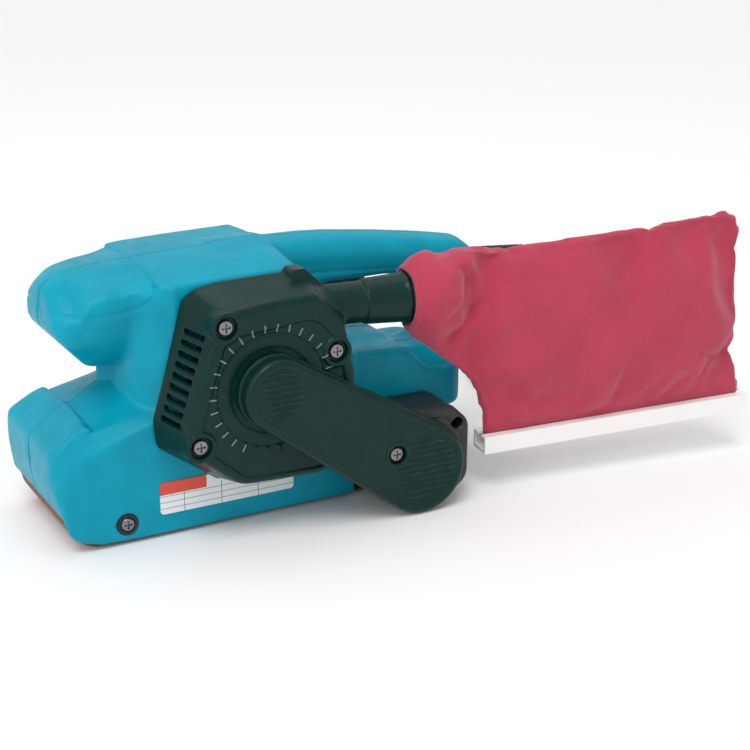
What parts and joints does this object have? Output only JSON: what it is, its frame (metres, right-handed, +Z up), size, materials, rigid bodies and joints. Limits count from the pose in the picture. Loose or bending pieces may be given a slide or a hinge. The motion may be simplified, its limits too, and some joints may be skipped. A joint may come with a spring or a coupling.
{
  "type": "handheld belt sander",
  "caption": "Handheld belt sander with a side belt drive, front grip, rear loop handle and a cloth dust bag.",
  "frame": {"origin": "centre of the flat sanding face, on the surface being sanded", "axes": "+X towards the rear handle and dust bag, +Y towards the open side of the sanding belt, +Z up"},
  "size_m": [0.4153, 0.2199, 0.1452],
  "materials": {
    "teal_plastic": "fine moulded texture",
    "dark_plastic": "satin moulded",
    "cast_alloy": "as cast",
    "zinc_steel": "zinc plated",
    "bright_steel": "ground",
    "cork": "fine granules",
    "abrasive": "coarse grit",
    "black_rubber": "matt",
    "lamination": "stacked sheets",
    "copper": "enamelled",
    "brass": "drawn",
    "carbon": "pressed carbon",
    "black_plastic": "satin",
    "plate_film": "printed film",
    "fan_plastic": "moulded",
    "roller_rubber": "ribbed",
    "roller_alloy": "turned",
    "spring_steel": "wire",
    "bag_cloth": "woven",
    "white_plastic": "extruded",
    "tie_strap": "strap",
    "plug_brass": "plated"
  },
  "bodies": {
    "housing": {"housing_left": "teal_plastic", "housing_right": "teal_plastic", "drive_housing": "dark_plastic", "drive_case": "dark_plastic", "belt_cover": "dark_plastic", "frame_casting": "cast_alloy", "shoe_plate": "bright_steel", "shoe_cushion": "cork", "sanding_belt": "abrasive", "drive_belt": "black_rubber", "field_core": "lamination", "field_windings": "copper", "drive_side_bearing": "bright_steel", "open_side_bearing": "bright_steel", "drive_roller_bearing": "bright_steel", "brush_holders": "brass", "carbon_brushes": "carbon", "brush_caps": "black_plastic", "switch_unit": "black_plastic", "trigger_pin": "bright_steel", "lever_pin": "bright_steel", "body_bolts": "zinc_steel", "drive_side_screws": "zinc_steel", "cover_screw": "zinc_steel", "rating_plate": "plate_film", "motor_end_cap": "dark_plastic", "cord_guard": "black_rubber", "power_cord": "black_rubber", "cord_coil": "black_rubber", "cord_tie": "tie_strap", "mains_plug": "black_rubber", "plug_pins": "plug_brass", "tracking_grommet": "black_rubber"},
    "motor_rotor": {"armature_core": "lamination", "motor_shaft": "bright_steel", "commutator": "copper", "fan": "fan_plastic", "small_pulley": "bright_steel"},
    "drive_roller": {"drive_roller": "roller_rubber", "drive_shaft": "bright_steel", "drive_shaft_nut": "zinc_steel", "large_pulley": "fan_plastic"},
    "front_yoke": {"front_yoke": "zinc_steel", "front_axle": "bright_steel", "tension_spring": "spring_steel"},
    "front_roller": {"front_roller": "roller_alloy"},
    "tension_lever": {"tension_lever": "zinc_steel"},
    "tracking_screw": {"tracking_screw": "zinc_steel"},
    "trigger": {"trigger": "black_plastic"},
    "lock_button": {"lock_button": "black_plastic"},
    "speed_dial": {"speed_dial": "black_plastic"},
    "bag_seal": {"bag_seal": "black_rubber"},
    "dust_bag": {"bag_collar": "black_plastic", "dust_bag": "bag_cloth"},
    "bag_strip": {"bag_strip": "white_plastic"}
  },
  "joints": [
    {"name": "motor_spin", "type": "hinge", "parent": "housing", "child": "motor_rotor", "pos_m": [0, 0, 0.0815], "axis": [0, 1, 0], "continuous": true},
    {"name": "drive_roller_spin", "type": "hinge", "parent": "housing", "child": "drive_roller", "pos_m": [0.082, 0, 0.0225], "axis": [0, 1, 0], "continuous": true},
    {"name": "yoke_slide", "type": "slide", "parent": "housing", "child": "front_yoke", "axis": [1, 0, 0], "range_m": [0, 0.006]},
    {"name": "front_roller_spin", "type": "hinge", "parent": "front_yoke", "child": "front_roller", "pos_m": [-0.082, 0, 0.0185], "axis": [0, 1, 0], "continuous": true},
    {"name": "lever_swing", "type": "hinge", "parent": "housing", "child": "tension_lever", "pos_m": [-0.04, 0.0325, 0.0185], "axis": [0, 0, 1], "range_deg": [0, 80]},
    {"name": "tracking_turn", "type": "hinge", "parent": "housing", "child": "tracking_screw", "pos_m": [-0.07, -0.044, 0.0115], "axis": [0, 1, 0], "range_deg": [-270, 270]},
    {"name": "trigger_pull", "type": "hinge", "parent": "housing", "child": "trigger", "pos_m": [0.061, 0, 0.12], "axis": [0, -1, 0], "range_deg": [0, 10], "stiffness_Nm_per_rad": 0.4, "springref_deg": -8.59},
    {"name": "lock_press", "type": "slide", "parent": "housing", "child": "lock_button", "axis": [0, -1, 0], "range_m": [0, 0.003], "stiffness_N_per_m": 200, "springref_m": -0.001},
    {"name": "speed_turn", "type": "hinge", "parent": "housing", "child": "speed_dial", "pos_m": [0.004, 0.039, 0.1245], "axis": [0, 1, 0], "range_deg": [-135, 135]},
    {"name": "bag_pull_off", "type": "slide", "parent": "housing", "child": "bag_seal", "axis": [0.9903, -0.1392, 0], "range_m": [0, 0.045]},
    {"name": "bag_swivel", "type": "hinge", "parent": "bag_seal", "child": "dust_bag", "pos_m": [0.045, -0.055, 0.1155], "axis": [0.9903, -0.1392, 0], "range_deg": [-60, 0]},
    {"name": "strip_slide", "type": "slide", "parent": "dust_bag", "child": "bag_strip", "axis": [0.99, -0.1391, 0.025], "range_m": [0, 0.19]}
  ],
  "couplings": [
    {"joint": "drive_roller_spin", "follows": "motor_spin", "ratio": 0.53333},
    {"joint": "front_roller_spin", "follows": "motor_spin", "ratio": 0.65736},
    {"joint": "lever_swing", "follows": "yoke_slide", "rad_per_m": 232.71}
  ]
}
